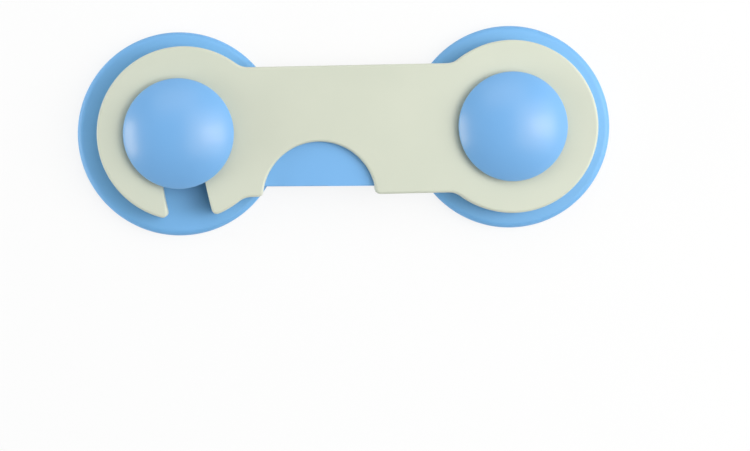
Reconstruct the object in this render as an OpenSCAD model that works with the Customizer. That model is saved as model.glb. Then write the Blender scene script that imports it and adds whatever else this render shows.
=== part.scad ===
// Cabinet safety lock: two stick-on round bases joined by a white arm that swings on one base and hooks
// over the post of the other. A blue lever inside the arm holds the hook shut until it is squeezed up.
// X runs along the lock with the hook at the low end, Y is up as the lock is seen from the front,
// Z comes out of the front. Zero is midway between the bases, on the face that sticks to the furniture.

/* [Layout] */
// distance between the two base posts, centre to centre
post_spacing = 97; // [94:0.5:102]
// smoothness of the turned shapes
round_steps = 120; // [48:12:180]

/* [Adhesive pads] */
// diameter of the foam pad and of its liner
pad_d = 53.6; // [50:0.2:54.4]
// thickness of the foam
foam_t = 1; // [0.7:0.1:1.6]
// thickness of the peel-off liner
liner_t = 0.2; // [0.1:0.05:0.3]
// how far the catch pad is stuck off centre, along the lock and across it
catch_pad_off = [-1.0, 1.2];
// how far the hinge pad is stuck off centre, along the lock and across it
hinge_pad_off = [0.1, 0.9];

/* [Bases] */
// diameter of each base
base_d = 59.5; // [58:0.5:64]
// thickness of a base plate
base_t = 3.4; // [3.2:0.1:4]
// edge rounding on the front of a base plate
base_front_round = 1.8; // [1:0.1:2]
// edge rounding on the back of a base plate
base_back_round = 1; // [0.5:0.1:1.1]
// diameter of the post that the arm turns on or hooks over
post_d = 12; // [11.6:0.1:12.4]
// number of catch notches around a post
notch_count = 10; // [8:1:11]
// depth of a catch notch
notch_depth = 1.4; // [1.3:0.05:1.5]
// width of the flat root of a notch
notch_root_w = 1.1; // [1:0.05:1.2]
// width of a notch where it opens
notch_mouth_w = 2.8; // [2.7:0.05:2.9]
// height of the notch's upper side at its root, above the post's middle
notch_flank_y = 0.75; // [0.7:0.05:0.8]
// how much that side rises from the root to the mouth, along the path of the lever's nose
notch_flank_rise = 0.5; // [0.45:0.05:0.55]
// plain length of the post below the notches
post_plain_foot = 0.4; // [0.3:0.1:0.6]
// diameter of the socket in the post's end that takes the cap's spigot
socket_d = 6.5; // [6.3:0.1:6.7]
// depth of that socket
socket_depth = 3; // [2.6:0.1:3.2]
// diameter of the recess for the screw head in the back of a base
head_recess_d = 7; // [6.6:0.1:8]
// depth of that recess
head_recess_depth = 3.2; // [3:0.1:3.4]
// diameter of the screw's clearance hole through the post
screw_hole_d = 3.4; // [3.3:0.05:3.6]

/* [Caps] */
// diameter of a domed cap
cap_d = 31.9; // [31.5:0.1:32.9]
// height of a cap from its rim to its top
cap_h = 7.6; // [7:0.1:8.4]
// radius of the rolled rim of a cap
cap_rim_r = 0.8; // [0.6:0.05:0.9]
// wall thickness of a cap
cap_wall = 2; // [1.8:0.1:2.2]
// diameter of the boss inside a cap
cap_boss_d = 11; // [10:0.2:11.4]
// gap between the arm's highest face and a cap's rim
cap_gap = 0.25; // [0.2:0.05:0.5]
// clearance around a cap's spigot in its socket
spigot_clear = 0.05; // [0.03:0.01:0.1]
// length of a cap's spigot
spigot_len = 2.5; // [2:0.1:2.6]

/* [Cap screws] */
// diameter over the screw's thread
screw_d = 3; // [2.9:0.05:3.1]
// length of the screw under its head
screw_len = 12; // [11:0.5:13]
// diameter of the screw's head
screw_head_d = 6; // [5.8:0.1:6.4]
// height of the screw's head
screw_head_h = 1.9; // [1.7:0.1:2.2]
// how much smaller the pilot hole is than the thread, on the radius
pilot_grip = 0.15; // [0.1:0.01:0.2]
// thread pitch of both kinds of screw
thread_pitch = 1; // [0.9:0.05:1.2]
// depth of a thread
thread_depth = 0.3; // [0.2:0.02:0.35]

/* [Arm] */
// width of the arm between the rings
arm_w = 37.6; // [37:0.1:38.4]
// diameter of the ring at each end
ring_d = 50.4; // [49.8:0.2:51.4]
// how far the hook's round end is shifted towards the hinge
hook_shift = 1.6; // [1.2:0.1:1.9]
// depth of the arm from its front face to the edge of its skirt
arm_h = 7; // [6.9:0.05:7.4]
// thickness of the front skin
arm_skin = 2; // [1.8:0.05:2.1]
// thickness of the skirt
arm_wall = 2.2; // [2:0.05:2.3]
// gap between a base and the arm's skirt
under_gap = 0.4; // [0.3:0.05:0.6]
// rounding of the front edges
edge_round = 0.8; // [0.5:0.05:0.9]
// radius of the hollow corners where the arm meets a ring
blend_r = 6; // [5:0.2:7]
// depth of the shallow dish around each cap
dish_depth = 0.8; // [0.5:0.05:0.9]
// diameter of the flat floor of the dish
dish_floor_d = 33; // [32.9:0.1:34]
// diameter where the dish meets the front face
dish_edge_d = 44; // [42:0.5:44.5]
// rounding of the corners in the outline
corner_r = 1.5; // [1.2:0.1:1.6]
// clearance on each side of the post in the hook's slot
slot_clear = 0.2; // [0.15:0.05:0.3]
// bevel along the front edges of the slot
slot_edge = 0.4; // [0.2:0.05:0.5]
// extra radius at the closed end of the slot
slot_seat_relief = 0.05; // [0.03:0.01:0.1]
// running clearance between the hinge post and its bore, on the radius
hinge_clear = 0.08; // [0.05:0.01:0.1]
// wall of the tube around the hinge bore
hub_wall = 2.4; // [2:0.1:2.6]

/* [Finger notch] */
// radius of the half-moon finger notch
finger_r = 16.4; // [16.2:0.1:16.8]
// distance of the notch's middle from the catch post
finger_x = 40.3; // [40:0.1:40.6]
// how far the notch's middle lies outside the arm's edge
finger_drop = 0.8; // [0.6:0.1:1]

/* [Lever] */
// gap between the tray's left end and the inside of the skirt
lever_gap = 0.85; // [0.8:0.05:1.2]
// height of the lever's tray across the arm, at its left end
tray_w = 16.35; // [16.2:0.05:16.5]
// how much nearer to the skirt the tray's lower edge is at its right end
tray_fall = 0.65; // [0.4:0.05:0.7]
// distance of the tray's left end from the catch post
tray_left = 18.5; // [18:0.1:18.8]
// distance of the tray's right end from the catch post
tray_right = 57.95; // [57.8:0.05:58.1]
// radius of the tray's round end
tray_end_r = 15; // [14.8:0.1:15.2]
// width of the tray's rim
rim_w = 2; // [1.8:0.1:2.2]
// thickness of the tray's floor
tray_floor_t = 2; // [1.8:0.1:2.2]
// gap between the lever's front face and the skin above it
lever_play = 0.2; // [0.15:0.05:0.25]
// gap between the lever's back edge and the plane of the skirt's edge
lever_lift = 0.2; // [0.15:0.05:0.3]
// thickness of the lever's web
web_t = 2.5; // [2.3:0.1:2.6]
// radius of the lever's eye
eye_r = 4.2; // [4:0.1:4.3]
// diameter of the arm's pivot stub
stub_d = 4; // [3.8:0.1:4.2]
// running clearance between the stub and the eye, on the radius
eye_clear = 0.05; // [0.03:0.01:0.08]
// end float of the eye on its stub
eye_float = 0.1; // [0.08:0.01:0.15]
// how far the nose's tip stops short of a notch's root
nose_short = 0.25; // [0.2:0.05:0.3]
// clearance between the nose and the sides of its notch
nose_clear = 0.15; // [0.1:0.05:0.2]
// diameter of the round pad on the tray's floor
tray_pad_d = 8.2; // [7:0.2:8.6]
// height of that pad
tray_pad_h = 1; // [0.8:0.1:1.2]
// place of that pad from the catch post, along and across
tray_pad_at = [46.1, -7.7];
// gap under the lug that rests on the skirt
rest_gap = 0.15; // [0.1:0.05:0.2]
// width of the rest lug
rest_lug_w = 2; // [1.6:0.1:2.4]
// distance of the rest lug from the tray's left end
rest_lug_in = 2; // [1.6:0.1:2.2]
// radius of the stop pin that ends the squeeze
stop_pin_r = 1.8; // [1.6:0.1:1.9]
// place of the stop pin from the catch post, along and across
stop_pin_at = [26.4, 7.0];

/* [Leaf spring] */
// thickness of the leaf
leaf_t = 2.2; // [1.8:0.1:2.3]
// distance of the leaf's root from the catch post
leaf_root = 59.5; // [59.2:0.1:60]
// how far short of the hinge post the leaf ends
leaf_end = 4.5; // [4:0.1:6]
// how far the leaf's front edge stays below the lever's front face
leaf_drop = 0.2; // [0.1:0.05:0.4]
// gap between the leaf's end and the rib that keeps it down
anchor_gap = 0.2; // [0.15:0.05:0.3]
// thickness of that rib
anchor_rib_t = 1.4; // [1.2:0.1:1.6]
// length of that rib
anchor_rib_len = 6; // [5:0.2:7]

/* [Pivot screw] */
// diameter over the pivot screw's thread
pivot_screw_d = 2; // [1.9:0.05:2.1]
// length of the pivot screw under its head
pivot_screw_len = 3.4; // [3:0.1:3.5]
// diameter of the pivot screw's head
pivot_head_d = 4.2; // [4:0.1:4.6]
// height of the pivot screw's head
pivot_head_h = 1.2; // [1.1:0.05:1.3]
// diameter of the washer
washer_d = 7; // [6.6:0.1:7.4]
// thickness of the washer
washer_t = 0.4; // [0.3:0.05:0.5]
// clearance of the washer on the screw, on the radius
washer_clear = 0.1; // [0.08:0.01:0.15]

/* [Moulding marks] */
// diameter of the ejector marks inside the arm
mark_d = 2.4; // [2:0.1:3]
// depth of those marks
mark_depth = 0.15; // [0.1:0.01:0.2]
// places of those marks from the middle, along and across
mark_at = [[-7.3, 8.0], [6.5, 13.0], [12.0, 3.0]];

/* [Hidden] */
$fn = round_steps;
// extra length that a cutter runs past the face it cuts
over = 1;
white = [0.87, 0.88, 0.81];
blue = [0.49, 0.71, 0.93];
foam_white = [0.93, 0.93, 0.90];
liner_cream = [0.85, 0.81, 0.75];
steel = [0.62, 0.62, 0.64];

catch_x = -post_spacing / 2;
hinge_x = post_spacing / 2;
hook_x = catch_x + hook_shift;
ring_r = ring_d / 2;
half_w = arm_w / 2;
post_r = post_d / 2;
slot_half = post_r + slot_clear;
seat_r = slot_half + slot_seat_relief;
hub_bore_r = post_r + hinge_clear;
hub_r = hub_bore_r + hub_wall;

foam_z = liner_t;
base_z = liner_t + foam_t;
plate_z = base_z + base_t;
arm_z = plate_z + under_gap;
arm_top = arm_z + arm_h;
skin_z = arm_top - arm_skin;
cap_z = arm_top + cap_gap;

finger_at = [catch_x + finger_x, -half_w - finger_drop];

lever_z = arm_z + lever_lift;
lever_top = skin_z - lever_play;
tray_low = -half_w + arm_wall + lever_gap;
tray_high = tray_low + tray_w;
tray_mid = catch_x + tray_right - tray_end_r;
// the lever's pivot lies midway between the slot's seat and the ring's edge
pivot_y = (seat_r + ring_r) / 2;
eye_at = [catch_x, pivot_y];
web_z = lever_top - web_t;
stub_z = web_z - eye_float;

notch_root_r = post_r - notch_depth;
nose_tip = notch_root_r + nose_short;
// how steeply a notch's two sides open
notch_rise = notch_flank_rise / notch_depth;
notch_fall = (notch_mouth_w - notch_root_w - notch_flank_rise) / notch_depth;

leaf_high = tray_low + leaf_t;
leaf_x0 = catch_x + leaf_root;
leaf_x1 = hinge_x - leaf_end;

// how far a hollow corner bites past its two sides, so that it crosses them cleanly
blend_bite = 0.03;
// how much a rounded corner stays inside its two sides
corner_shy = 0.02;
// how far a corner wedge runs out, in corner radii
wedge_reach = 3;

// the first meeting point, low in Y, of a circle about the hinge post and a circle about the hook's middle
function meet_low(r_hinge, r_hook) =
    let (d = hinge_x - hook_x)
    let (a = (r_hinge * r_hinge - r_hook * r_hook + d * d) / (2 * d))
    [hinge_x - a, -sqrt(r_hinge * r_hinge - a * a)];

// the point at distance r from c on the way to p
function toward(c, p, r) = c + (p - c) * r / norm(p - c);

// share of an edge's radius that is left at the middle of its two flats
flat_share = 1 - cos(45);

// a disc with an eased top edge, made of two flats that follow the round
module soft_disc(r, z0, z1, e) {
    rotate_extrude()
        polygon([
            [0, z0],
            [r, z0],
            [r, z1 - e],
            [r - e * flat_share, z1 - e * flat_share],
            [r - e, z1],
            [0, z1]
        ]);
}

// a bar along X with eased top edges
module soft_bar(x0, x1, half, z0, z1, e) {
    translate([x0, 0, 0])
        rotate([90, 0, 90])
            linear_extrude(x1 - x0)
                polygon([
                    [-half, z0],
                    [half, z0],
                    [half, z1 - e],
                    [half - e * flat_share, z1 - e * flat_share],
                    [half - e, z1],
                    [e - half, z1],
                    [e * flat_share - half, z1 - e * flat_share],
                    [-half, z1 - e]
                ]);
}

// a round cutter whose mouth flares, so that the edge it leaves is eased
module flared_cut(r, z0, z1, e) {
    rotate_extrude()
        polygon([
            [0, z0 - over],
            [r, z0 - over],
            [r, z1 - e],
            [r + e * flat_share, z1 - e * flat_share],
            [r + e, z1],
            [r + e, z1 + over],
            [0, z1 + over]
        ]);
}

// the path that the catch post takes through the hook, as a band about the hinge post
module slot_band(half, z0, z1, sweep) {
    translate([hinge_x, 0, z0])
        rotate([0, 0, 180])
            rotate_extrude(angle = sweep)
                translate([post_spacing - half, 0])
                    square([2 * half, z1 - z0]);
}

// the same path with bevelled edges at the front, and the seat where the post rests
module slot_cut(half, seat, z0, z1, e, sweep) {
    translate([catch_x, 0, z0 - over])
        cylinder(r = seat, h = z1 - z0 + 2 * over);
    slot_band(half, z0 - over, z1 + over, sweep);
    translate([hinge_x, 0, z1])
        rotate([0, 0, 180])
            rotate_extrude(angle = sweep)
                translate([post_spacing, 0])
                    polygon([[half, -e], [half + e, 0], [half + e, over], [-half - e, over], [-half - e, 0], [-half, -e]]);
}

// the wedge that takes a sharp corner off, between the two places where the round touches
module corner_wedge(p, t1, t2) {
    translate([0, 0, arm_z - over])
        linear_extrude(arm_h + 2 * over)
            polygon([
                p,
                p + (t1 - p) * wedge_reach,
                p + (t1 - p + t2 - p) * wedge_reach,
                p + (t2 - p) * wedge_reach
            ]);
}

// middle of the round at each side of the finger notch
function finger_corner(s) =
    let (cy = -half_w + corner_r)
    let (dy = cy - finger_at[1])
    let (reach = finger_r + corner_r)
    [finger_at[0] + s * sqrt(reach * reach - dy * dy), cy];

module finger_wedge(s) {
    p = finger_corner(s);
    corner_wedge(p, [p[0], -half_w], toward(finger_at, p, finger_r));
}

// middle of the round at the tip of each jaw of the hook
jaw_left = meet_low(post_spacing + slot_half + corner_r, ring_r - corner_r);
jaw_right = meet_low(post_spacing - slot_half - corner_r, ring_r - corner_r);

module jaw_wedge(p, r_slot) {
    corner_wedge(
        p,
        toward([hinge_x, 0], p, r_slot),
        toward([hook_x, 0], p, ring_r)
    );
}

// the filled block in a hollow corner between a ring and the arm
module blend_block(x, sx, sy) {
    reach = ring_r + blend_r;
    rise = half_w + blend_r;
    run = sqrt(reach * reach - rise * rise);
    line_x = x + sx * run;
    touch = [x + sx * run * ring_r / reach, sy * rise * ring_r / reach];
    difference() {
        translate([0, 0, arm_z])
            linear_extrude(arm_h)
                polygon([
                    [line_x, sy * half_w],
                    touch,
                    [touch[0], sy * (half_w - blend_r)],
                    [line_x, sy * (half_w - blend_r)]
                ]);
        translate([line_x, sy * rise, 0])
            flared_cut(blend_r + blend_bite, arm_z, arm_top, edge_round);
    }
}

// outline of the arm as a filled block with rounded front edges
module arm_block() {
    translate([hinge_x, 0, 0])
        soft_disc(ring_r, arm_z, arm_top, edge_round);
    translate([hook_x, 0, 0])
        soft_disc(ring_r, arm_z, arm_top, edge_round);
    soft_bar(hook_x, hinge_x, half_w, arm_z, arm_top, edge_round);
    for (s = [-1, 1]) {
        blend_block(hook_x, 1, s);
        blend_block(hinge_x, -1, s);
    }
}

// inside of the arm
module arm_cavity() {
    for (x = [hook_x, hinge_x])
        translate([x, 0, arm_z - over])
            cylinder(r = ring_r - arm_wall, h = skin_z - arm_z + over);
    translate([hook_x, -half_w + arm_wall, arm_z - over])
        cube([hinge_x - hook_x, 2 * (half_w - arm_wall), skin_z - arm_z + over]);
}

// angle that the slot sweeps to run out past the hook
slot_sweep = asin((ring_r + over) / post_spacing) + over;

module arm() {
    color(white)
        difference() {
            union() {
                difference() {
                    union() {
                        difference() {
                            arm_block();
                            translate([finger_at[0], finger_at[1], 0])
                                flared_cut(finger_r, arm_z, arm_top, edge_round);
                            for (s = [-1, 1])
                                finger_wedge(s);
                            slot_cut(slot_half, seat_r, arm_z, arm_top, slot_edge, slot_sweep);
                            jaw_wedge(jaw_left, post_spacing + slot_half);
                            jaw_wedge(jaw_right, post_spacing - slot_half);
                        }
                        for (p = [jaw_left, jaw_right, finger_corner(-1), finger_corner(1)])
                            translate([p[0], p[1], 0])
                                soft_disc(corner_r - corner_shy, arm_z, arm_top, edge_round);
                    }
                    difference() {
                        arm_cavity();
                        slot_band(slot_half + arm_wall, arm_z - over, skin_z + over, slot_sweep);
                        translate([catch_x, 0, arm_z - over])
                            cylinder(r = seat_r + arm_wall, h = arm_h + over);
                        translate([hinge_x, 0, arm_z - over])
                            cylinder(r = hub_r, h = arm_h + over);
                    }
                }
                translate([eye_at[0], eye_at[1], stub_z])
                    cylinder(d = stub_d, h = arm_top - dish_depth - arm_skin / 2 - stub_z);
                translate([catch_x + stop_pin_at[0], stop_pin_at[1], web_z])
                    cylinder(r = stop_pin_r, h = arm_top - arm_skin / 2 - web_z);
                translate([leaf_x1 - anchor_rib_len, leaf_high + anchor_gap, lever_z])
                    cube([anchor_rib_len, anchor_rib_t, arm_top - arm_skin / 2 - dish_depth - lever_z]);
            }
            translate([hinge_x, 0, arm_z - over])
                cylinder(r = hub_bore_r, h = arm_h + 2 * over);
            for (x = [catch_x, hinge_x])
                translate([x, 0, arm_top - dish_depth])
                    dish_cut();
            nose_window();
            translate([eye_at[0], eye_at[1], stub_z - over])
                cylinder(r = pivot_screw_d / 2 - pilot_grip, h = pivot_screw_len - washer_t + over);
            for (p = mark_at)
                translate([p[0], p[1], skin_z - over])
                    cylinder(d = mark_d, h = mark_depth + over);
        }
}

// the shallow cone around a cap, which never reaches the edge rounding of the ring
module dish_cut() {
    rotate_extrude()
        polygon([
            [0, 0],
            [dish_floor_d / 2, 0],
            [dish_edge_d / 2, dish_depth],
            [dish_edge_d / 2, dish_depth + over],
            [0, dish_depth + over]
        ]);
}

// how far the window runs above and below the middle of the post
nose_window_up = 3.2;
nose_window_down = 3.6;

// opening in the slot's wall that the lever's nose works through
module nose_window() {
    translate([catch_x + post_r - slot_clear, -nose_window_down, arm_z - over])
        cube([arm_wall + over, nose_window_up + nose_window_down, skin_z - arm_z + over]);
}

// outline of one catch notch, which holds the nose at the top and slopes away below
module notch_shape() {
    reach = post_r + over;
    low = notch_flank_y - notch_root_w;
    polygon([
        [notch_root_r, notch_flank_y],
        [reach, notch_flank_y + (notch_depth + over) * notch_rise],
        [reach, low - (notch_depth + over) * notch_fall],
        [notch_root_r, low]
    ]);
}

module base_body() {
    difference() {
        union() {
            translate([0, 0, base_z])
                rotate_extrude()
                    base_profile();
            translate([0, 0, plate_z - over])
                cylinder(r = post_r, h = cap_z - plate_z + over);
        }
        for (i = [0 : notch_count - 1])
            rotate([0, 0, i * 360 / notch_count])
                translate([0, 0, plate_z + post_plain_foot])
                    linear_extrude(skin_z - plate_z - post_plain_foot)
                        notch_shape();
        translate([0, 0, base_z - over])
            cylinder(d = head_recess_d, h = head_recess_depth + over);
        translate([0, 0, base_z])
            cylinder(d = screw_hole_d, h = cap_z - base_z);
        translate([0, 0, cap_z - socket_depth])
            cylinder(d = socket_d, h = socket_depth + over);
    }
}

// half section of a base plate
module base_profile() {
    r = base_d / 2;
    f = base_front_round;
    b = base_back_round;
    square([r - f, base_t]);
    square([r - b, base_t - f]);
    translate([0, b])
        square([r, base_t - f - b]);
    translate([r - f, base_t - f])
        intersection() {
            circle(f);
            square(f);
        }
    translate([r - b, b])
        intersection() {
            circle(b);
            translate([0, -b])
                square(b);
        }
}

module catch_base() {
    color(blue)
        translate([catch_x, 0, 0])
            base_body();
}

module hinge_base() {
    color(blue)
        translate([hinge_x, 0, 0])
            base_body();
}

// radius of the ball that a cap's crown is part of, and where its middle lies, tangent to the rolled rim
cap_rim_x = cap_d / 2 - cap_rim_r;
cap_drop = (cap_rim_x * cap_rim_x - (cap_h - 2 * cap_rim_r) * cap_h) / (2 * (cap_h - 2 * cap_rim_r));
cap_ball_r = cap_h + cap_drop;
// where the rim and the ball touch
cap_touch = [0, -cap_drop] + [cap_rim_x, cap_rim_r + cap_drop] * cap_ball_r / (cap_ball_r - cap_rim_r);

module cap_body() {
    difference() {
        union() {
            difference() {
                rotate_extrude()
                    cap_profile();
                intersection() {
                    translate([0, 0, -cap_drop])
                        sphere(r = cap_ball_r - cap_wall);
                    cylinder(r = cap_rim_x - cap_wall + cap_rim_r, h = cap_h);
                }
                translate([0, 0, -over])
                    cylinder(r = cap_rim_x - cap_wall + cap_rim_r, h = over + cap_rim_r);
            }
            cylinder(d = cap_boss_d, h = cap_h - cap_wall / 2);
            translate([0, 0, -spigot_len])
                cylinder(r = socket_d / 2 - spigot_clear, h = spigot_len + over);
        }
        translate([0, 0, -spigot_len - over])
            cylinder(r = screw_d / 2 - pilot_grip, h = cap_h - cap_wall + spigot_len + over);
    }
}

// half section of a solid cap
module cap_profile() {
    intersection() {
        translate([0, -cap_drop])
            circle(cap_ball_r);
        polygon([
            [0, 0],
            [cap_rim_x, 0],
            [cap_rim_x, cap_rim_r],
            cap_touch,
            [cap_touch[0], cap_h + over],
            [0, cap_h + over]
        ]);
    }
    translate([cap_rim_x, cap_rim_r])
        circle(cap_rim_r);
}

module catch_cap() {
    color(blue)
        translate([catch_x, 0, cap_z])
            cap_body();
}

module hinge_cap() {
    color(blue)
        translate([hinge_x, 0, cap_z])
            cap_body();
}

module pad_disc(x, off, z, t) {
    translate([x + off[0], off[1], z])
        cylinder(d = pad_d, h = t);
}

module catch_foam_pad() {
    color(foam_white)
        pad_disc(catch_x, catch_pad_off, foam_z, foam_t);
}

module hinge_foam_pad() {
    color(foam_white)
        pad_disc(hinge_x, hinge_pad_off, foam_z, foam_t);
}

module catch_pad_liner() {
    color(liner_cream)
        pad_disc(catch_x, catch_pad_off, 0, liner_t);
}

module hinge_pad_liner() {
    color(liner_cream)
        pad_disc(hinge_x, hinge_pad_off, 0, liner_t);
}

// share of the head's height that is its domed back, and the size of the cross recess
head_dome_share = 0.35;
cross_w_share = 0.16;
cross_len_share = 0.62;
cross_depth_share = 0.6;
// length of a screw's point
point_len = 0.8;

// a pan-head screw that points up, with the underside of its head at zero
module pan_screw(d, len, head_d, head_h) {
    r = d / 2;
    turns = floor((len - point_len - thread_pitch) / thread_pitch);
    difference() {
        translate([0, 0, -head_h])
            union() {
                translate([0, 0, head_h * head_dome_share])
                    cylinder(d = head_d, h = head_h * (1 - head_dome_share));
                cylinder(r1 = head_d * cross_len_share / 2, r2 = head_d / 2, h = head_h * head_dome_share);
            }
        translate([0, 0, -head_h - over])
            for (a = [0, 90])
                rotate([0, 0, a])
                    translate([-head_d * cross_len_share / 2, -head_d * cross_w_share / 2, 0])
                        cube([head_d * cross_len_share, head_d * cross_w_share, head_h * cross_depth_share + over]);
    }
    rotate_extrude()
        polygon(concat(
            [[0, -head_h * (1 - cross_depth_share)], [r - thread_depth, -head_h * (1 - cross_depth_share)]],
            [for (i = [0 : turns - 1], k = [0 : 2])
                [
                    k == 1 ? r : r - thread_depth,
                    (i + (k + 1) / 4) * thread_pitch
                ]
            ],
            [[r - thread_depth, len - point_len], [0, len]]
        ));
}

screw_seat = base_z + head_recess_depth;

module catch_cap_screw() {
    color(steel)
        translate([catch_x, 0, screw_seat])
            pan_screw(screw_d, screw_len, screw_head_d, screw_head_h);
}

module hinge_cap_screw() {
    color(steel)
        translate([hinge_x, 0, screw_seat])
            pan_screw(screw_d, screw_len, screw_head_d, screw_head_h);
}

module lever_pivot_screw() {
    color(steel)
        translate([eye_at[0], eye_at[1], stub_z - washer_t])
            pan_screw(pivot_screw_d, pivot_screw_len, pivot_head_d, pivot_head_h);
}

module lever_pivot_washer() {
    color(steel)
        translate([eye_at[0], eye_at[1], stub_z - washer_t])
            difference() {
                cylinder(d = washer_d, h = washer_t);
                translate([0, 0, -over])
                    cylinder(r = pivot_screw_d / 2 + washer_clear, h = washer_t + 2 * over);
            }
}

// the tray's lower edge, which comes nearer to the skirt towards the hinge, at a place along the lock
function tray_edge(x) = tray_low - (x - catch_x - tray_left) * tray_fall / (tray_right - tray_left);

// the lever's tray, seen from the front, drawn in by a margin
module tray_shape(m) {
    left = catch_x + tray_left + m;
    end = tray_mid + tray_end_r + over;
    polygon([
        [left, tray_edge(left) + m],
        [tray_mid, tray_edge(tray_mid) + m],
        [tray_mid, tray_high - m],
        [left, tray_high - m]
    ]);
    intersection() {
        translate([tray_mid, tray_high - tray_end_r])
            circle(tray_end_r - m);
        polygon([
            [tray_mid - over, tray_edge(tray_mid - over) + m],
            [end, tray_edge(end) + m],
            [end, tray_high + over],
            [tray_mid - over, tray_high + over]
        ]);
    }
}

// the strip that carries the tray's lower edge on to the leaf, seen from the front
module tray_tail() {
    polygon([
        [tray_mid, tray_edge(tray_mid)],
        [leaf_x0, tray_edge(leaf_x0)],
        [leaf_x0, tray_edge(leaf_x0) + leaf_t],
        [tray_mid, tray_edge(tray_mid) + leaf_t]
    ]);
}

// corners of the web that joins the eye, the nose and the tray, from the catch post, going round
web_points = [
    [0.5, pivot_y + 4.1], [4.5, pivot_y + 3.1], [20, 6.5], [27, 0.2], [27, -4], [19, -8], [11.5, -3.4],
    [9.3, -3.4], [9.3, 3.2], [7.6, 7.6], [4.2, 12.2], [0.5, pivot_y]
];
// length of the nose behind the slot's wall
nose_root = 11;
// how far the nose's root runs below the post's middle
nose_root_down = 2.9;

// outline of the nose, from the catch post
module nose_shape() {
    tip_high = notch_flank_y - nose_clear + nose_short * notch_rise;
    tip_low = notch_flank_y - notch_root_w + nose_clear - nose_short * notch_fall;
    polygon([
        [nose_tip, tip_high],
        [nose_root, tip_high + (nose_root - nose_tip) * notch_rise],
        [nose_root, -nose_root_down],
        [nose_tip + (nose_root_down + tip_low) / notch_fall, -nose_root_down],
        [nose_tip, tip_low]
    ]);
}

module latch_lever() {
    color(blue)
        difference() {
            union() {
                translate([0, 0, lever_z])
                    linear_extrude(lever_top - lever_z)
                        tray_shape(0);
                translate([0, 0, lever_z])
                    linear_extrude(lever_top - lever_z)
                        tray_tail();
                translate([catch_x + tray_left + rest_lug_in, tray_low - lever_gap + rest_gap, lever_z])
                    cube([rest_lug_w, lever_gap + over, lever_top - lever_z]);
                translate([catch_x, 0, web_z])
                    linear_extrude(web_t)
                        polygon(web_points);
                translate([eye_at[0], eye_at[1], web_z])
                    cylinder(r = eye_r, h = web_t);
                translate([catch_x, 0, lever_z])
                    linear_extrude(lever_top - lever_z)
                        nose_shape();
            }
            difference() {
                translate([0, 0, lever_z - over])
                    linear_extrude(lever_top - lever_z - tray_floor_t + over)
                        tray_shape(rim_w);
                translate([catch_x + tray_pad_at[0], tray_pad_at[1], lever_top - tray_floor_t - tray_pad_h])
                    cylinder(d = tray_pad_d, h = tray_pad_h + over);
            }
            translate([eye_at[0], eye_at[1], web_z - over])
                cylinder(r = stub_d / 2 + eye_clear, h = web_t + 2 * over);
        }
}

module lever_leaf_spring() {
    color(blue)
        translate([0, 0, lever_z])
            linear_extrude(lever_top - leaf_drop - lever_z)
                polygon([
                    [leaf_x0, tray_edge(leaf_x0)],
                    [leaf_x1, tray_low],
                    [leaf_x1, leaf_high],
                    [leaf_x0, tray_edge(leaf_x0) + leaf_t]
                ]);
}

arm();
latch_lever();
lever_leaf_spring();
lever_pivot_screw();
lever_pivot_washer();
catch_base();
catch_cap();
catch_cap_screw();
catch_foam_pad();
catch_pad_liner();
hinge_base();
hinge_cap();
hinge_cap_screw();
hinge_foam_pad();
hinge_pad_liner();
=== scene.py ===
import bpy
import bmesh
from math import acos, asin, atan2, cos, pi, radians, sin, sqrt
from mathutils import Matrix, Vector


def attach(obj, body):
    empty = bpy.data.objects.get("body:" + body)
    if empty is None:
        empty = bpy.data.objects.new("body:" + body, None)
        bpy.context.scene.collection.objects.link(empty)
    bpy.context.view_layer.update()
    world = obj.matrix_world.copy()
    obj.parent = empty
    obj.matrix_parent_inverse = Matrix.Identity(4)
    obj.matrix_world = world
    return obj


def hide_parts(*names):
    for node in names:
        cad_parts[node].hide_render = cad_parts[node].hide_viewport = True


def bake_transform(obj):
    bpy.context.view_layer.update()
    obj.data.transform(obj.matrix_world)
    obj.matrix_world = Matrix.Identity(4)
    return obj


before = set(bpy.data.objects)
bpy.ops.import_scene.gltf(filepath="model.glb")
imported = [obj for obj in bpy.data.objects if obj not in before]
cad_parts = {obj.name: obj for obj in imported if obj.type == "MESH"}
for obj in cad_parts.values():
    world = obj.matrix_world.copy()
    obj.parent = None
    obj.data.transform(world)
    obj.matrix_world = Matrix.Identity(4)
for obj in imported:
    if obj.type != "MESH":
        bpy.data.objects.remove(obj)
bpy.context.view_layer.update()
MM = 0.001
FULL_TURN = 2 * pi

# ---- sizes of the lock in millimetres, as the solids have them

# the two posts, and the middle of the hook
POST_SPACING = 97.0
CATCH = Vector((-POST_SPACING / 2, 0))
HINGE = Vector((POST_SPACING / 2, 0))
HOOK = Vector((CATCH.x + 1.6, 0))

# heights, from the furniture up
LINER_TOP = 0.2
BASE_Z = 1.2
PLATE_Z = 4.6
ARM_Z = 5.0
LEVER_Z = 5.2
STUB_Z = 7.2
WEB_Z = 7.3
LEVER_TOP = 9.8
SKIN_Z = 10.0
ARM_TOP = 12.0
CAP_Z = 12.25

# the arm's outline, and the half-moon notch for the finger
RING_R = 25.2
HALF_W = 18.8
BLEND_R = 6.0
CORNER_R = 1.5
SLOT_HALF = 6.2
FINGER = Vector((CATCH.x + 40.3, -HALF_W - 0.8))
FINGER_R = 16.4

# the arm's skirt, its rounded edges, and the shallow dish under each cap
ARM_WALL = 2.2
EDGE_ROUND = 0.8
LOW_ROUND = 0.3
DISH_DEPTH = 0.8
DISH_R = 16.5
DISH_RIM_R = 22.0
TUBE_R = 8.48
ARM_BORE_R = 6.08

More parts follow.
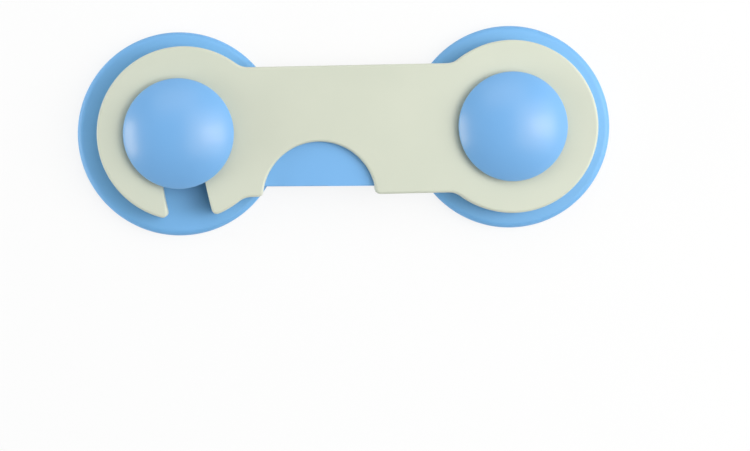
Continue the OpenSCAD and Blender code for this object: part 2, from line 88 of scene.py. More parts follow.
# what stands or is cut in the arm's hollow
PIVOT = Vector((CATCH.x, 15.725))
STUB_R = 2.0
STUB_TOP = 10.6
STUB_BORE_R = 0.85
STUB_BORE_DEEP = 3.0
STOP_PIN = (CATCH.x + 26.4, 7.0)
STOP_PIN_R = 1.8
STOP_PIN_TOP = 11.0
RIB_LONG = 6.0
RIB_THICK = 1.4
RIB_GAP = 0.2
RIB_TOP = 10.3
WINDOW_X = (CATCH.x + 5.8, CATCH.x + 9)
WINDOW_Y = (-3.6, 3.2)
EJECTOR_MARKS = ((-7.3, 8.0), (6.5, 13.0), (12.0, 3.0))
MARK_R = 1.2
MARK_DEEP = 0.15

# the bases: plate and post, recess for the screw's head, screw hole, socket for the cap
BASE_R = 29.75
POST_R = 6.0
HEAD_R = 3.5
HEAD_DEEP = 3.2
HOLE_R = 1.7
SOCKET_R = 3.25
SOCKET_DEEP = 3.0
RECESS_ROUND = 0.2
BACK_ROUND = 1.0
FRONT_ROUND = 1.8
FOOT_ROUND = 0.35
POST_ROUND = 0.25
SOCKET_ROUND = 0.15

# the notches round a post, with the outline of one of them seen from the post
NOTCHES = 10
NOTCH_FOOT = 0.4
NOTCH = [(4.6, 0.75), (7.0, 1.607), (7.0, -2.493), (4.6, -0.35)]

# the caps: dome on a rolled rim, boss, spigot that goes into the post, pilot hole for the screw
CAP_H = 7.6
CAP_RIM_X = 15.15
CAP_RIM_R = 0.8
CAP_WALL = 2.0
CAP_CHAMFER = 0.2
BOSS_R = 5.5
SPIGOT_R = 3.2
SPIGOT_LONG = 2.5
PILOT_R = 1.35
OVER_PILOT = 1.0

# the pads, which are stuck on a little off the posts
PAD_R = 26.8
PADS = (("catch", CATCH + Vector((-1.0, 1.2))), ("hinge", HINGE + Vector((0.1, 0.9))))
FOAM_ROUND = 0.15
LINER_ROUND = 0.03

# the lever's tray, with the lug that rests on the skirt and the round pad inside
TRAY_LOW = -15.75
TRAY_HIGH = 0.6
TRAY_LEFT = CATCH.x + 18.5
TRAY_RIGHT = CATCH.x + 57.95
TRAY_FALL = 0.65 / (TRAY_RIGHT - TRAY_LEFT)
TRAY_END_R = 15.0
TRAY_MID = TRAY_RIGHT - TRAY_END_R
TRAY_WALL = 2.0
TRAY_ROUND = 0.35
TRAY_INNER_ROUND = 0.45
LUG_X = (TRAY_LEFT + 2, TRAY_LEFT + 4)
LUG_Y = (TRAY_LOW - 0.7, TRAY_LOW + 0.5)
TRAY_PAD = (CATCH.x + 46.1, -7.7)
TRAY_PAD_R = 4.1
TRAY_PAD_LOW = LEVER_TOP - 3.0
TRAY_PAD_HIGH = LEVER_TOP - 1.5
TRAY_PAD_ROUND = 0.25

# the lever's web, nose and eye, with their corners seen from the catch post
WEB = [(0.5, 19.825), (0.5, 15.725), (4.2, 12.2), (7.6, 7.6), (9.3, 3.2), (9.3, -3.4), (11.5, -3.4),
       (19, -8), (27, -4), (27, 0.2), (20, 6.5), (4.5, 18.825)]
NOSE = [(4.85, 0.689), (4.85, -0.423), (7.69, -2.9), (11, -2.9), (11, 2.88)]
EYE_R = 4.2
EYE_BORE_R = 2.05

# the leaf that runs on from the tray
LEAF_X0 = CATCH.x + 59.5
LEAF_X1 = HINGE.x - 4.5
LEAF_T = 2.2
LEAF_DROP = 0.2
LEAF_ROUND = 0.3
LEAF_SLICES = 28

# ---- how finely things are made

# flats in a full circle, from the widest shapes to the smallest
WIDE_STEPS = 160
DISH_STEPS = 128
BORE_STEPS = 96
EYE_STEPS = 64
PIN_STEPS = 48
SMALL_STEPS = 32
# length of a flat along an arc of an outline, and the least radius that it goes by
FLAT = 0.45
FLAT_LEAST_R = 1.5
# a circle drawn as one stroke stops just short of closing
NEARLY_FULL_TURN = FULL_TURN - 0.001
# a cutting tool runs on past the face that it cuts
PAST = 1.0
# what is joined to the lever ends a few of these below its top, so that no two faces share a plane
NUDGE = 0.01
# points this near to each other are one: ends of strokes and points in mm, points of a finished piece in m
ENDS_MEET = 1e-4
SAME_POINT = 1e-5
SAME_POINT_M = 2e-7
# edges bent by more than this stay crisp
CRISP = radians(32)


# ---- modelling helpers

def new_object(name, bm):
    """Turns a bmesh in millimetres into an object in metres."""
    bmesh.ops.remove_doubles(bm, verts=bm.verts, dist=SAME_POINT)
    bmesh.ops.recalc_face_normals(bm, faces=bm.faces)
    bmesh.ops.scale(bm, vec=(MM, MM, MM), verts=bm.verts)
    mesh = bpy.data.meshes.new(name)
    bm.to_mesh(mesh)
    bm.free()
    obj = bpy.data.objects.new(name, mesh)
    bpy.context.scene.collection.objects.link(obj)
    return obj


def only_verts(geom):
    return [g for g in geom if isinstance(g, bmesh.types.BMVert)]


def outline(bm, strokes, z):
    """A closed edge loop at height z. A stroke of (middle, radius, from angle, to angle) is an arc, and a
    plain point is a corner."""
    ends = []
    for stroke in strokes:
        if len(stroke) == 2:
            v = bm.verts.new((stroke[0], stroke[1], z))
            ends.append((v, v))
            continue
        mid, r, a0, a1 = stroke
        first = bm.verts.new((mid[0] + r * cos(a0), mid[1] + r * sin(a0), z))
        steps = max(3, int(abs(a1 - a0) * max(r, FLAT_LEAST_R) / FLAT))
        made = bmesh.ops.spin(bm, geom=[first], cent=(mid[0], mid[1], z), axis=(0, 0, 1),
                              angle=a1 - a0, steps=steps, use_merge=False)
        ends.append((first, only_verts(made["geom_last"])[0]))
    for (_, tail), (head, _) in zip(ends, ends[1:] + ends[:1]):
        if (tail.co - head.co).length > ENDS_MEET:
            bm.edges.new((tail, head))
    bmesh.ops.remove_doubles(bm, verts=bm.verts, dist=ENDS_MEET)


def round_edges(bm, edges, r, segments):
    bmesh.ops.bevel(bm, geom=edges, offset=r, offset_type="OFFSET", segments=segments, profile=0.5,
                    affect="EDGES", material=-1, clamp_overlap=False)


def prism(strokes, z0, z1, top_round=0.0, low_round=0.0, segments=4):
    """A straight-sided block on an outline, with its edges rounded where a radius is given."""
    bm = bmesh.new()
    outline(bm, strokes, z1)
    face = bmesh.ops.contextual_create(bm, geom=bm.edges[:])["faces"][0]
    if face.normal.z < 0:
        face.normal_flip()
    low = bmesh.ops.extrude_face_region(bm, geom=[face], use_keep_orig=True)
    bmesh.ops.translate(bm, vec=(0, 0, z0 - z1), verts=only_verts(low["geom"]))
    bmesh.ops.recalc_face_normals(bm, faces=bm.faces)
    for z, r in ((z1, top_round), (z0, low_round)):
        if r:
            rim = [e for e in bm.edges if all(abs(v.co.z - z) < ENDS_MEET for v in e.verts)]
            round_edges(bm, rim, r, segments)
    return bm


def turned(points, at, steps):
    """A shape turned about Z from a half section: a list of (radius, height)."""
    bm = bmesh.new()
    verts = [bm.verts.new((r, 0, z)) for r, z in points]
    edges = [bm.edges.new(pair) for pair in zip(verts, verts[1:])]
    bmesh.ops.spin(bm, geom=verts + edges, cent=(0, 0, 0), axis=(0, 0, 1), angle=FULL_TURN,
                   steps=steps, use_merge=True)
    bmesh.ops.remove_doubles(bm, verts=bm.verts, dist=SAME_POINT)
    bmesh.ops.translate(bm, vec=(at[0], at[1], 0), verts=bm.verts)
    bmesh.ops.recalc_face_normals(bm, faces=bm.faces)
    return bm


def rounded(corners, steps=6):
    """The points of a closed half section, from (radius, height, rounding) for each of its corners."""
    points = [Vector(corner[:2]) for corner in corners]
    out = []
    for i, (p, corner) in enumerate(zip(points, corners)):
        r = corner[2]
        if not r:
            out.append(p)
            continue
        a = (points[i - 1] - p).normalized()
        b = (points[(i + 1) % len(points)] - p).normalized()
        half = acos(max(-1, min(1, a.dot(b)))) / 2
        mid = p + (a + b).normalized() * (r / sin(half))
        back = r / (sin(half) / cos(half))
        start = p + a * back - mid
        end = p + b * back - mid
        turn = start.angle_signed(end)
        for k in range(steps + 1):
            d = Vector(start)
            d.rotate(Matrix.Rotation(-turn * k / steps, 2))
            out.append(mid + d)
    return out


def arc(x, z, r, a0, a1, steps):
    """The points of an arc in a half section, without its first one."""
    angles = [a0 + (a1 - a0) * k / steps for k in range(1, steps + 1)]
    return [(x + r * cos(a), z + r * sin(a)) for a in angles]


def block(x0, x1, y0, y1, z0, z1):
    bm = bmesh.new()
    bmesh.ops.create_cube(bm, size=1)
    bmesh.ops.scale(bm, vec=(x1 - x0, y1 - y0, z1 - z0), verts=bm.verts)
    bmesh.ops.translate(bm, vec=((x0 + x1) / 2, (y0 + y1) / 2, (z0 + z1) / 2), verts=bm.verts)
    return bm


def rod(at, r, z0, z1, steps):
    bm = bmesh.new()
    bmesh.ops.create_cone(bm, cap_ends=True, segments=steps, radius1=r, radius2=r, depth=z1 - z0)
    bmesh.ops.translate(bm, vec=(at[0], at[1], (z0 + z1) / 2), verts=bm.verts)
    return bm


def work(obj, kind, tools):
    """Joins each tool to a piece, or cuts it out of the piece."""
    for bm in tools:
        tool = new_object("tool", bm)
        mod = obj.modifiers.new("work", "BOOLEAN")
        mod.operation, mod.solver, mod.object = kind, "EXACT", tool
        done = bpy.data.meshes.new_from_object(obj.evaluated_get(bpy.context.evaluated_depsgraph_get()))
        obj.modifiers.clear()
        old, obj.data = obj.data, done
        done.name = obj.name
        bpy.data.meshes.remove(old)
        bpy.data.objects.remove(tool, do_unlink=True)


def cut(obj, *tools):
    work(obj, "DIFFERENCE", tools)


def join(obj, *tools):
    work(obj, "UNION", tools)


def shade(obj, look):
    """Smooth shading with crisp corners, and the material."""
    for p in obj.data.polygons:
        p.use_smooth = True
    obj.data.set_sharp_from_angle(angle=CRISP)
    obj.data.materials.clear()
    obj.data.materials.append(look)


def finish_shape(obj, look, body, node_name):
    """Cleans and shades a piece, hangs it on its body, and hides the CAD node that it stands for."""
    bm = bmesh.new()
    bm.from_mesh(obj.data)
    bmesh.ops.remove_doubles(bm, verts=bm.verts, dist=SAME_POINT_M)
    bmesh.ops.dissolve_degenerate(bm, edges=bm.edges, dist=SAME_POINT_M / 2)
    bm.to_mesh(obj.data)
    bm.free()
    shade(obj, look)
    weigh = obj.modifiers.new("even shading", "WEIGHTED_NORMAL")
    weigh.keep_sharp, weigh.weight = True, 80
    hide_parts(node_name)
    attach(obj, body)
    return obj


def meet_low(r_hinge, r_hook):
    """Where a circle about the hinge post and one about the hook's middle meet, low in Y."""
    d = HINGE.x - HOOK.x
    a = (r_hinge ** 2 - r_hook ** 2 + d ** 2) / (2 * d)
    return Vector((HINGE.x - a, -sqrt(r_hinge ** 2 - a ** 2)))


def bearing(mid, p):
    """The angle at which one point sees another."""
    return atan2(p[1] - mid[1], p[0] - mid[0])


# ---- material helpers

def put(tree, socket, value):
    """Sets a socket, or links it where the value is another node's socket."""
    if isinstance(value, bpy.types.NodeSocket):
        tree.links.new(value, socket)
    else:
        socket.default_value = value


def dress(tree, target, **values):
    """Sets or links a node's sockets by name, with _ for a space."""
    for key, value in values.items():
        put(tree, target.inputs[key.replace("_", " ")], value)


def node(tree, kind, places=None, **values):
    """A node with its plain properties and its sockets set. Places gives sockets by their number."""
    n = tree.nodes.new(kind)
    for key in [k for k in values if hasattr(n, k)]:
        setattr(n, key, values.pop(key))
    dress(tree, n, **values)
    for place, value in (places or {}).items():
        put(tree, n.inputs[place], value)
    return n


def here(tree):
    return node(tree, "ShaderNodeTexCoord").outputs["Object"]


def noise(tree, where, scale, detail, rough=0.5):
    return node(tree, "ShaderNodeTexNoise", Vector=where, Scale=scale, Detail=detail, Roughness=rough).outputs


def cells(tree, where, scale):
    return node(tree, "ShaderNodeTexVoronoi", Vector=where, Scale=scale, Randomness=1.0).outputs


def stretched(tree, where, scale, turn=0.0):
    return node(tree, "ShaderNodeMapping", Vector=where, Scale=scale, Rotation=(0, 0, turn)).outputs["Vector"]


def ramp(tree, value, from_min=0.0, from_max=1.0, to_min=0.0, to_max=1.0):
    return node(tree, "ShaderNodeMapRange", Value=value, From_Min=from_min, From_Max=from_max,
                To_Min=to_min, To_Max=to_max).outputs["Result"]


def maths(tree, operation, *terms):
    return node(tree, "ShaderNodeMath", dict(enumerate(terms)), operation=operation).outputs[0]


def between(tree, share, one, other, kind="MIX"):
    """A colour between two, by a share."""
    return node(tree, "ShaderNodeMix", {0: share, 6: one, 7: other}, data_type="RGBA",
                blend_type=kind).outputs[2]


def bumped(tree, height, strength, distance):
    return node(tree, "ShaderNodeBump", Height=height, Strength=strength, Distance=distance).outputs["Normal"]


def new_material(name):
    m = bpy.data.materials.new(name)
    m.use_nodes = True
    return m, m.node_tree, m.node_tree.nodes["Principled BSDF"]


def srgb(r, g, b):
    """A colour given as it is seen, 0 to 255, as the linear values the shader wants."""
    seen = [c / 255 for c in (r, g, b)]
    return tuple(c / 12.92 if c <= 0.04045 else ((c + 0.055) / 1.055) ** 2.4 for c in seen) + (1,)


# ---- shared effect: moulded plastic

def moulded_group():
    """Fine spark grain, slow drift of tone, faint rub marks and specks, as on moulded plastic."""
    g = bpy.data.node_groups.new("moulded plastic", "ShaderNodeTree")
    for label, value in (("Colour", (0.8, 0.8, 0.8, 1)), ("Deep colour", (0.6, 0.6, 0.6, 1)), ("Drift", 0.15),
                         ("Grain size", 4200.0), ("Roughness", 0.35), ("Rub", 0.08), ("Specks", 0.25)):
        kind = "NodeSocketFloat" if isinstance(value, float) else "NodeSocketColor"
        g.interface.new_socket(name=label, in_out="INPUT", socket_type=kind).default_value = value
    for label, kind in (("Colour", "NodeSocketColor"), ("Roughness", "NodeSocketFloat"),
                        ("Height", "NodeSocketFloat")):
        g.interface.new_socket(name=label, in_out="OUTPUT", socket_type=kind)
    given = g.nodes.new("NodeGroupInput").outputs
    out = g.nodes.new("NodeGroupOutput")

    where = here(g)
    grain = noise(g, where, given["Grain size"], 2.0, 0.6)["Fac"]
    drift = noise(g, where, 38.0, 3.0)["Fac"]
    rub = noise(g, stretched(g, where, (60, 900, 200), 0.6), 1.0, 4.0, 0.7)["Fac"]
    speck = cells(g, where, 420.0)

    drifted = maths(g, "MULTIPLY", ramp(g, drift, 0.35, 0.65), given["Drift"])
    tone = between(g, drifted, given["Colour"], given["Deep colour"])
    dots = ramp(g, speck["Distance"], 0.02, 0.07, 1.0, 0.0)
    few_dots = maths(g, "MULTIPLY", dots, ramp(g, speck["Color"], 0.88, 0.9))
    faint_dots = maths(g, "MULTIPLY", few_dots, given["Specks"])
    rubbed = maths(g, "MULTIPLY_ADD", ramp(g, rub, 0.52, 0.72), given["Rub"], given["Roughness"])
    dress(g, out, Colour=between(g, faint_dots, tone, given["Deep colour"]),
          Roughness=maths(g, "MULTIPLY_ADD", grain, 0.06, rubbed), Height=grain)
    return g


MOULDED = moulded_group()


def plastic(name, colour, deep, rough, drift=0.15, grain=4200.0, specks=0.25, bump=0.12, shine=0.75,
            shine_tint=(1, 1, 1, 1)):
    m, t, shader = new_material(name)
    g = node(t, "ShaderNodeGroup", node_tree=MOULDED, Colour=colour, Deep_colour=deep, Drift=drift,
             Grain_size=grain, Roughness=rough, Specks=specks)
    dress(t, shader, Base_Color=g.outputs["Colour"], Roughness=g.outputs["Roughness"],
          Normal=bumped(t, g.outputs["Height"], bump, 0.00006), Specular_IOR_Level=shine,
          Specular_Tint=shine_tint)
    return m


def foam_material():
    """Closed-cell foam: pale, matt, pitted where it is cut, with painted shade in the bottoms of the pits."""
    m, t, shader = new_material("white adhesive foam")
    where = here(t)
    pits = cells(t, where, 3400.0)["Distance"]
    # painted shade: the colour is darker towards the bottom of each pit, on the same cells that give the bump
    pit_shaded = between(t, ramp(t, pits, 0.1, 0.7), srgb(216, 216, 210), srgb(240, 240, 236))
    patches = noise(t, where, 140.0, 3.0)["Color"]
    dress(t, shader, Base_Color=between(t, 0.25, pit_shaded, patches, "MULTIPLY"), Roughness=0.9,
          Sheen_Weight=0.15, Normal=bumped(t, pits, 0.6, 0.0002))
    return m


def liner_material():
    """Cream release paper: soft fibres, faint blotches where it touches the glue, a slight gloss."""
    m, t, shader = new_material("cream release paper")
    where = here(t)
    fibre = noise(t, stretched(t, where, (900, 2600, 900), 0.35), 1.0, 4.0, 0.65)["Fac"]
    blotch = noise(t, where, 85.0, 4.0, 0.6)["Fac"]
    paper = between(t, ramp(t, blotch, 0.3, 0.7), srgb(214, 205, 190), srgb(222, 213, 199))
    threads = ramp(t, fibre, 0.35, 0.75, 0.0, 0.18)
    dress(t, shader, Base_Color=between(t, threads, paper, srgb(232, 226, 214)),
          Roughness=ramp(t, blotch, to_min=0.45, to_max=0.6), Normal=bumped(t, fibre, 0.15, 0.00005))
    return m


def steel_material():
    """Zinc-plated screw steel with turning marks and dull patches."""
    m, t, shader = new_material("plated screw steel")
    where = here(t)
    marks = noise(t, stretched(t, where, (300, 300, 6000)), 1.0, 3.0)["Fac"]
    dull = noise(t, where, 900.0, 3.0)["Fac"]
    dress(t, shader, Base_Color=between(t, dull, srgb(176, 178, 182), srgb(204, 204, 200)),
          Roughness=ramp(t, marks, to_min=0.22, to_max=0.5), Metallic=1.0)
    return m


base_blue = plastic("sky blue plastic", (0.175, 0.48, 0.88, 1), (0.153, 0.445, 0.85, 1), rough=0.56, shine=1.0)
cap_blue = plastic("sky blue plastic, polished cap", (0.205, 0.495, 0.91, 1), (0.195, 0.48, 0.89, 1), rough=0.3,
                   grain=5200.0, bump=0.06, shine_tint=(1.0, 0.8, 0.5, 1))
lever_blue = plastic("sky blue plastic, lever", (0.20, 0.50, 0.91, 1), (0.17, 0.46, 0.87, 1), rough=0.4)
white = plastic("ivory white plastic", srgb(220, 224, 206), srgb(210, 216, 198), rough=0.42, drift=0.35,
                specks=0.12, shine=0.5)
foam = foam_material()
liner = liner_material()
steel = steel_material()


# ---- the arm

def arm_outline():
    """The arm seen from the front, going round against the clock."""
    run = sqrt((RING_R + BLEND_R) ** 2 - (HALF_W + BLEND_R) ** 2)
    up_left = Vector((HOOK.x + run, HALF_W + BLEND_R))
    up_right = Vector((HINGE.x - run, HALF_W + BLEND_R))
    low_left = Vector((up_left.x, -up_left.y))
    low_right = Vector((up_right.x, -up_right.y))
    corner_y = -HALF_W + CORNER_R
    side = sqrt((FINGER_R + CORNER_R) ** 2 - (corner_y - FINGER.y) ** 2)
    corner_l = Vector((FINGER.x - side, corner_y))
    corner_r = Vector((FINGER.x + side, corner_y))
    slot_out, slot_in = POST_SPACING + SLOT_HALF, POST_SPACING - SLOT_HALF
    jaw_l = meet_low(slot_out + CORNER_R, RING_R - CORNER_R)
    jaw_r = meet_low(slot_in - CORNER_R, RING_R - CORNER_R)
    return [
        (HINGE, RING_R, bearing(HINGE, low_right), bearing(HINGE, up_right)),
        (up_right, BLEND_R, bearing(up_right, HINGE), -pi / 2),
        (up_left, BLEND_R, -pi / 2, bearing(up_left, HOOK)),
        (HOOK, RING_R, bearing(HOOK, up_left), bearing(HOOK, jaw_l) + FULL_TURN),
        (jaw_l, CORNER_R, bearing(HOOK, jaw_l) + FULL_TURN, bearing(jaw_l, HINGE) + FULL_TURN),
        (HINGE, slot_out, bearing(HINGE, jaw_l) + FULL_TURN, pi),
        (CATCH, SLOT_HALF, pi, 0),
        (HINGE, slot_in, pi, bearing(HINGE, jaw_r) + FULL_TURN),
        (jaw_r, CORNER_R, bearing(HINGE, jaw_r) + FULL_TURN, bearing(HOOK, jaw_r) + FULL_TURN),
        (HOOK, RING_R, bearing(HOOK, jaw_r), bearing(HOOK, low_left)),
        (low_left, BLEND_R, bearing(low_left, HOOK), pi / 2),
        (corner_l, CORNER_R, -pi / 2, bearing(corner_l, FINGER)),
        (FINGER, FINGER_R, bearing(FINGER, corner_l), bearing(FINGER, corner_r)),
        (corner_r, CORNER_R, bearing(corner_r, FINGER), -pi / 2),
        (low_right, BLEND_R, pi / 2, bearing(low_right, HINGE)),
    ]


def arm_cavity():
    """The hollow under the arm, as one closed tool, less the slot's wall and the hinge tube."""
    r = RING_R - ARM_WALL
    lift = asin((HALF_W - ARM_WALL) / r)
    z0, z1 = ARM_Z - PAST, SKIN_Z
    cavity = new_object("cavity", prism([
        (HINGE, r, -pi + lift, pi - lift),
        (HOOK, r, lift, FULL_TURN - lift),
    ], z0, z1))
    down = asin((RING_R + 2 * PAST) / POST_SPACING)
    slot_wall = prism([
        (CATCH, SLOT_HALF + ARM_WALL, 0, pi),
        (HINGE, POST_SPACING + SLOT_HALF + ARM_WALL, pi, pi + down),
        (HINGE, POST_SPACING - SLOT_HALF - ARM_WALL, pi + down, pi),
    ], z0 - PAST, z1 + PAST)
    cut(cavity, slot_wall, rod(HINGE, TUBE_R, z0 - PAST, z1 + PAST, BORE_STEPS))
    bm = bmesh.new()
    bm.from_mesh(cavity.data)
    bmesh.ops.scale(bm, vec=(1 / MM,) * 3, verts=bm.verts)
    bpy.data.objects.remove(cavity, do_unlink=True)
    return bm


def make_arm():
    over = 0.2
    run_out = DISH_RIM_R + (DISH_RIM_R - DISH_R) * over / DISH_DEPTH
    dish = [(0, ARM_TOP - DISH_DEPTH), (DISH_R, ARM_TOP - DISH_DEPTH), (DISH_RIM_R, ARM_TOP),
            (run_out, ARM_TOP + over), (0, ARM_TOP + over)]
    rib_y = TRAY_LOW + LEAF_T + RIB_GAP
    arm = new_object("arm_shell", prism(arm_outline(), ARM_Z, ARM_TOP, EDGE_ROUND, LOW_ROUND, segments=5))
    cut(arm, arm_cavity(), turned(dish, CATCH, DISH_STEPS), turned(dish, HINGE, DISH_STEPS),
        rod(HINGE, ARM_BORE_R, ARM_Z - PAST, ARM_TOP + PAST, BORE_STEPS))
    join(arm, rod(PIVOT, STUB_R, STUB_Z, STUB_TOP, PIN_STEPS),
         rod(STOP_PIN, STOP_PIN_R, WEB_Z, STOP_PIN_TOP, PIN_STEPS),
         block(LEAF_X1 - RIB_LONG, LEAF_X1, rib_y, rib_y + RIB_THICK, LEVER_Z, RIB_TOP))
    cut(arm, block(*WINDOW_X, *WINDOW_Y, ARM_Z - PAST, SKIN_Z),
        rod(PIVOT, STUB_BORE_R, STUB_Z - PAST, STUB_Z + STUB_BORE_DEEP, SMALL_STEPS),
        *(rod(at, MARK_R, SKIN_Z - PAST, SKIN_Z + MARK_DEEP, SMALL_STEPS) for at in EJECTOR_MARKS))
    finish_shape(arm, white, "arm", "arm")


# ---- the bases, caps and pads

def notch_ring(at):
    """The cutting tool for all the notches round a post."""
    ring = bmesh.new()
    for i in range(NOTCHES):
        bm = prism(NOTCH, PLATE_Z + NOTCH_FOOT, SKIN_Z)
        bmesh.ops.rotate(bm, cent=(0, 0, 0), matrix=Matrix.Rotation(i * FULL_TURN / NOTCHES, 3, "Z"),
                         verts=bm.verts)
        bmesh.ops.translate(bm, vec=(at[0], at[1], 0), verts=bm.verts)
        one = bpy.data.meshes.new("notch")
        bm.to_mesh(one)
        bm.free()
        ring.from_mesh(one)
        bpy.data.meshes.remove(one)
    return ring


def make_base(end, at):
    path = rounded([
        (HEAD_R, BASE_Z, RECESS_ROUND),
        (BASE_R, BASE_Z, BACK_ROUND),
        (BASE_R, PLATE_Z, FRONT_ROUND),
        (POST_R, PLATE_Z, FOOT_ROUND),
        (POST_R, CAP_Z, POST_ROUND),
        (SOCKET_R, CAP_Z, SOCKET_ROUND),
        (SOCKET_R, CAP_Z - SOCKET_DEEP, 0),
        (HOLE_R, CAP_Z - SOCKET_DEEP, 0),
        (HOLE_R, BASE_Z + HEAD_DEEP, 0),
        (HEAD_R, BASE_Z + HEAD_DEEP, 0),
    ])
    base = new_object(end + "_base_plate", turned(path + path[:1], at, WIDE_STEPS))
    cut(base, notch_ring(at))
    finish_shape(base, base_blue, "bases", end + "_base")


def make_cap(end, at):
    """A dome of even wall on a rolled rim, with a boss in its middle, turned from its half section."""
    crown = CAP_H - 2 * CAP_RIM_R
    drop = (CAP_RIM_X ** 2 - crown * CAP_H) / (2 * crown)
    ball = CAP_H + drop
    touch = atan2(CAP_RIM_R + drop, CAP_RIM_X)
    inner = ball - CAP_WALL
    wall = CAP_RIM_X - CAP_WALL + CAP_RIM_R
    a_wall, a_boss = acos(wall / inner), acos(BOSS_R / inner)
    path = [(0, CAP_H)] + arc(0, -drop, ball, pi / 2, touch, 28)
    path += arc(CAP_RIM_X, CAP_RIM_R, CAP_RIM_R, touch, -pi / 2, 12)
    path += [(wall + CAP_CHAMFER, 0), (wall, CAP_CHAMFER), (wall, inner * sin(a_wall) - drop)]
    path += arc(0, -drop, inner, a_wall, a_boss, 12)
    path += [(BOSS_R, CAP_CHAMFER), (BOSS_R - CAP_CHAMFER, 0), (SPIGOT_R, 0),
             (SPIGOT_R, CAP_CHAMFER - SPIGOT_LONG), (SPIGOT_R - CAP_CHAMFER, -SPIGOT_LONG),
             (PILOT_R, -SPIGOT_LONG), (PILOT_R, CAP_H - OVER_PILOT), (0, CAP_H - OVER_PILOT)]
    cap = new_object(end + "_dome_cap", turned([(x, z + CAP_Z) for x, z in path], at, WIDE_STEPS))
    finish_shape(cap, cap_blue, "bases", end + "_cap")


def make_disc(name, at, z0, z1, edge, look, node_name):
    path = rounded([(0, z0, 0), (PAD_R, z0, edge), (PAD_R, z1, edge), (0, z1, 0)], 4)
    return finish_shape(new_object(name, turned(path, at, WIDE_STEPS)), look, "bases", node_name)


def make_pad(end, at):
    pad = make_disc(end + "_foam_disc", at, LINER_TOP, BASE_Z, FOAM_ROUND, foam, end + "_foam_pad")
    make_disc(end + "_release_paper", at, 0.0, LINER_TOP, LINER_ROUND, liner, end + "_pad_liner")


# ---- the lever and its leaf

def tray_edge(x):
    """The tray's lower edge, which comes nearer to the skirt towards the hinge."""
    return TRAY_LOW - (x - TRAY_LEFT) * TRAY_FALL


def tray_strokes(m):
    """The tray seen from the front, drawn in by a margin: two corners and the round end."""
    end_mid = (TRAY_MID, TRAY_HIGH - TRAY_END_R)
    r = TRAY_END_R - m
    lean = atan2(TRAY_FALL, 1)
    low = asin((end_mid[1] - tray_edge(TRAY_MID) - m) * cos(lean) / r) + lean
    return [
        (TRAY_LEFT + m, TRAY_HIGH - m),
        (TRAY_LEFT + m, tray_edge(TRAY_LEFT + m) + m),
        (end_mid, r, -low, pi / 2),
    ]


def strip(x0, y0, x1, y1):
    """The outline of a strip as thick as the leaf, between two places on its lower edge."""
    return [(x0, y0), (x1, y1), (x1, y1 + LEAF_T), (x0, y0 + LEAF_T)]


def from_catch(points):
    return [(CATCH.x + x, y) for x, y in points]


def make_lever():
    tail = strip(TRAY_MID, tray_edge(TRAY_MID), LEAF_X0, tray_edge(LEAF_X0))
    lever = new_object("latch_lever_tray", prism(tray_strokes(0), LEVER_Z, LEVER_TOP, TRAY_ROUND, segments=3))
    join(lever, prism(tail, LEVER_Z, LEVER_TOP - 5 * NUDGE),
         block(*LUG_X, *LUG_Y, LEVER_Z, LEVER_TOP - 10 * NUDGE),
         prism(from_catch(WEB), WEB_Z, LEVER_TOP - 2 * NUDGE),
         rod(PIVOT, EYE_R, WEB_Z + NUDGE, LEVER_TOP - 4 * NUDGE, EYE_STEPS),
         prism(from_catch(NOSE), LEVER_Z, LEVER_TOP - 6 * NUDGE))
    cut(lever, prism(tray_strokes(TRAY_WALL), LEVER_Z - PAST, LEVER_TOP - TRAY_WALL, TRAY_INNER_ROUND,
                     segments=3))
    join(lever, prism([(TRAY_PAD, TRAY_PAD_R, 0, NEARLY_FULL_TURN)], TRAY_PAD_LOW, TRAY_PAD_HIGH,
                      low_round=TRAY_PAD_ROUND, segments=2))
    cut(lever, rod(PIVOT, EYE_BORE_R, WEB_Z - PAST, LEVER_TOP + PAST, EYE_STEPS))
    finish_shape(lever, lever_blue, "lever", "latch_lever")


def make_leaf():
    """The strip that bends in the lock, sliced across along its length."""
    bm = prism(strip(LEAF_X0, tray_edge(LEAF_X0), LEAF_X1, TRAY_LOW), LEVER_Z, LEVER_TOP - LEAF_DROP)
    round_edges(bm, [e for e in bm.edges if abs(e.verts[0].co.x - e.verts[1].co.x) > 1], LEAF_ROUND, 3)
    for k in range(1, LEAF_SLICES):
        x = LEAF_X0 + (LEAF_X1 - LEAF_X0) * k / LEAF_SLICES
        bmesh.ops.bisect_plane(bm, geom=bm.verts[:] + bm.edges[:] + bm.faces[:], plane_co=(x, 0, 0),
                               plane_no=(1, 0, 0))
    leaf = new_object("lever_leaf", bm)
    shade(leaf, lever_blue)
    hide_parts("lever_leaf_spring")
    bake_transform(leaf)


make_arm()
for end, at in (("catch", CATCH), ("hinge", HINGE)):
    make_base(end, at)
for end, at in (("catch", CATCH), ("hinge", HINGE)):
    make_cap(end, at)
for end, at in PADS:
    make_pad(end, at)
make_lever()
make_leaf()
for name in ("catch_cap_screw", "hinge_cap_screw", "lever_pivot_screw", "lever_pivot_washer"):
    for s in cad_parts[name].material_slots:
        s.link = "OBJECT"
        s.material = steel


# ---- floor, light and camera

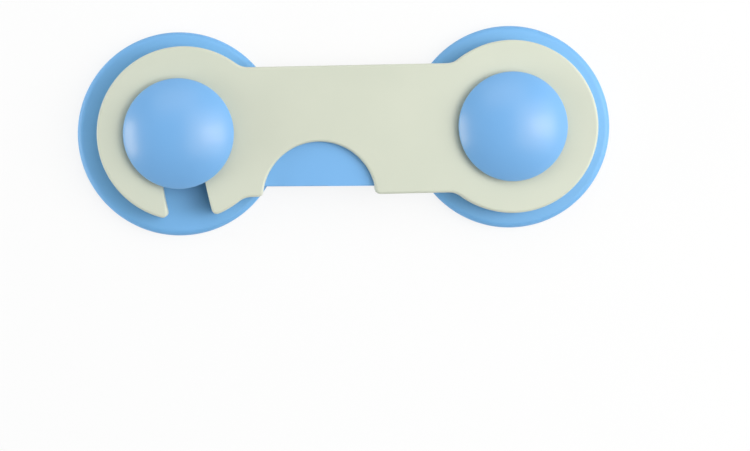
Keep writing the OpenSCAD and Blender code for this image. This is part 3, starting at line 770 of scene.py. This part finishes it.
def white_floor():
    """A pale floor, nearly white to the camera and in reflections, that keeps the lock's shadow."""
    half_side, just_below = 1500, -0.00005
    glow_share = 0.85
    bm = bmesh.new()
    bmesh.ops.create_grid(bm, x_segments=1, y_segments=1, size=half_side)
    floor = new_object("floor", bm)
    floor.location.z = just_below
    m, t, shader = new_material("white floor")
    grain = noise(t, here(t), 20.0, 3.0)["Fac"]
    dress(t, shader, Base_Color=between(t, grain, (0.93, 0.93, 0.93, 1), (0.96, 0.96, 0.96, 1)),
          Roughness=0.8, Specular_IOR_Level=0.1)
    glow = node(t, "ShaderNodeEmission", Strength=1.0)
    ray = node(t, "ShaderNodeLightPath").outputs
    share = maths(t, "MULTIPLY", maths(t, "MAXIMUM", ray["Is Camera Ray"], ray["Is Glossy Ray"]), glow_share)
    glowing = node(t, "ShaderNodeMixShader", {0: share, 1: shader.outputs[0], 2: glow.outputs[0]})
    dress(t, t.nodes["Material Output"], Surface=glowing.outputs[0])
    floor.data.materials.append(m)


def softbox(name, place, size, power, tint=(1, 1, 1)):
    """A rectangular lamp that looks at the middle of the lock. Its power is in watts."""
    middle = Vector((0, 0, 0.006))
    lamp = bpy.data.lights.new(name, "AREA")
    lamp.color = tint
    lamp.shape, lamp.size, lamp.size_y, lamp.energy = "RECTANGLE", size[0], size[1], power
    obj = bpy.data.objects.new(name, lamp)
    obj.location = place
    obj.rotation_euler = (middle - Vector(place)).to_track_quat("-Z", "Y").to_euler()
    bpy.context.scene.collection.objects.link(obj)


def studio_light():
    world = bpy.data.worlds.new("studio")
    bpy.context.scene.world = world
    world.use_nodes = True
    dress(world.node_tree, world.node_tree.nodes["Background"], Color=(0.92, 1.0, 1.0, 1), Strength=0.24)
    softbox("key softbox", place=(0.63, 0.0, 0.56), size=(0.36, 0.56), power=2.35, tint=(1.0, 0.94, 0.90))
    softbox("wide softbox", place=(0.8, 0.0, 0.9), size=(1.5, 1.5), power=10.8)
    softbox("left strip", place=(-0.9, -0.05, 0.18), size=(0.6, 0.28), power=3.5)
    softbox("top softbox", place=(-0.1, 0.9, 0.7), size=(1.2, 0.8), power=3.0)


def photo_camera():
    """The photograph's view: nearly square on to the front, from a little to the left and above."""
    picture_width = 750
    picture_x, picture_y = 375, 225.5
    lock_x, lock_y = 345.2, 130.56
    scale = 3.389 / MM
    plane = Vector((0, 0, 0.0025))
    distance = 0.62
    turn, lean_left, lean_up = radians(1.28), radians(3.0), radians(1.8)
    right = Vector((cos(turn), -sin(turn), 0))
    up = Vector((sin(turn), cos(turn), 0))
    aim = right * ((picture_x - lock_x) / scale) - up * ((picture_y - lock_y) / scale) + plane
    back = (Vector((0, 0, 1)) - right * sin(lean_left) + up * sin(lean_up)).normalized()
    side = up.cross(back).normalized()
    top = back.cross(side)
    lens = bpy.data.cameras.new("camera")
    lens.sensor_width = 36
    lens.lens = lens.sensor_width * scale * distance / picture_width
    lens.clip_start, lens.clip_end = 0.05, 20
    camera = bpy.data.objects.new("camera", lens)
    camera.matrix_world = Matrix((side, top, back)).transposed().to_4x4()
    camera.location = aim + back * distance
    bpy.context.scene.collection.objects.link(camera)
    bpy.context.scene.camera = camera


white_floor()
studio_light()
photo_camera()
bpy.context.scene.view_settings.view_transform = "Standard"
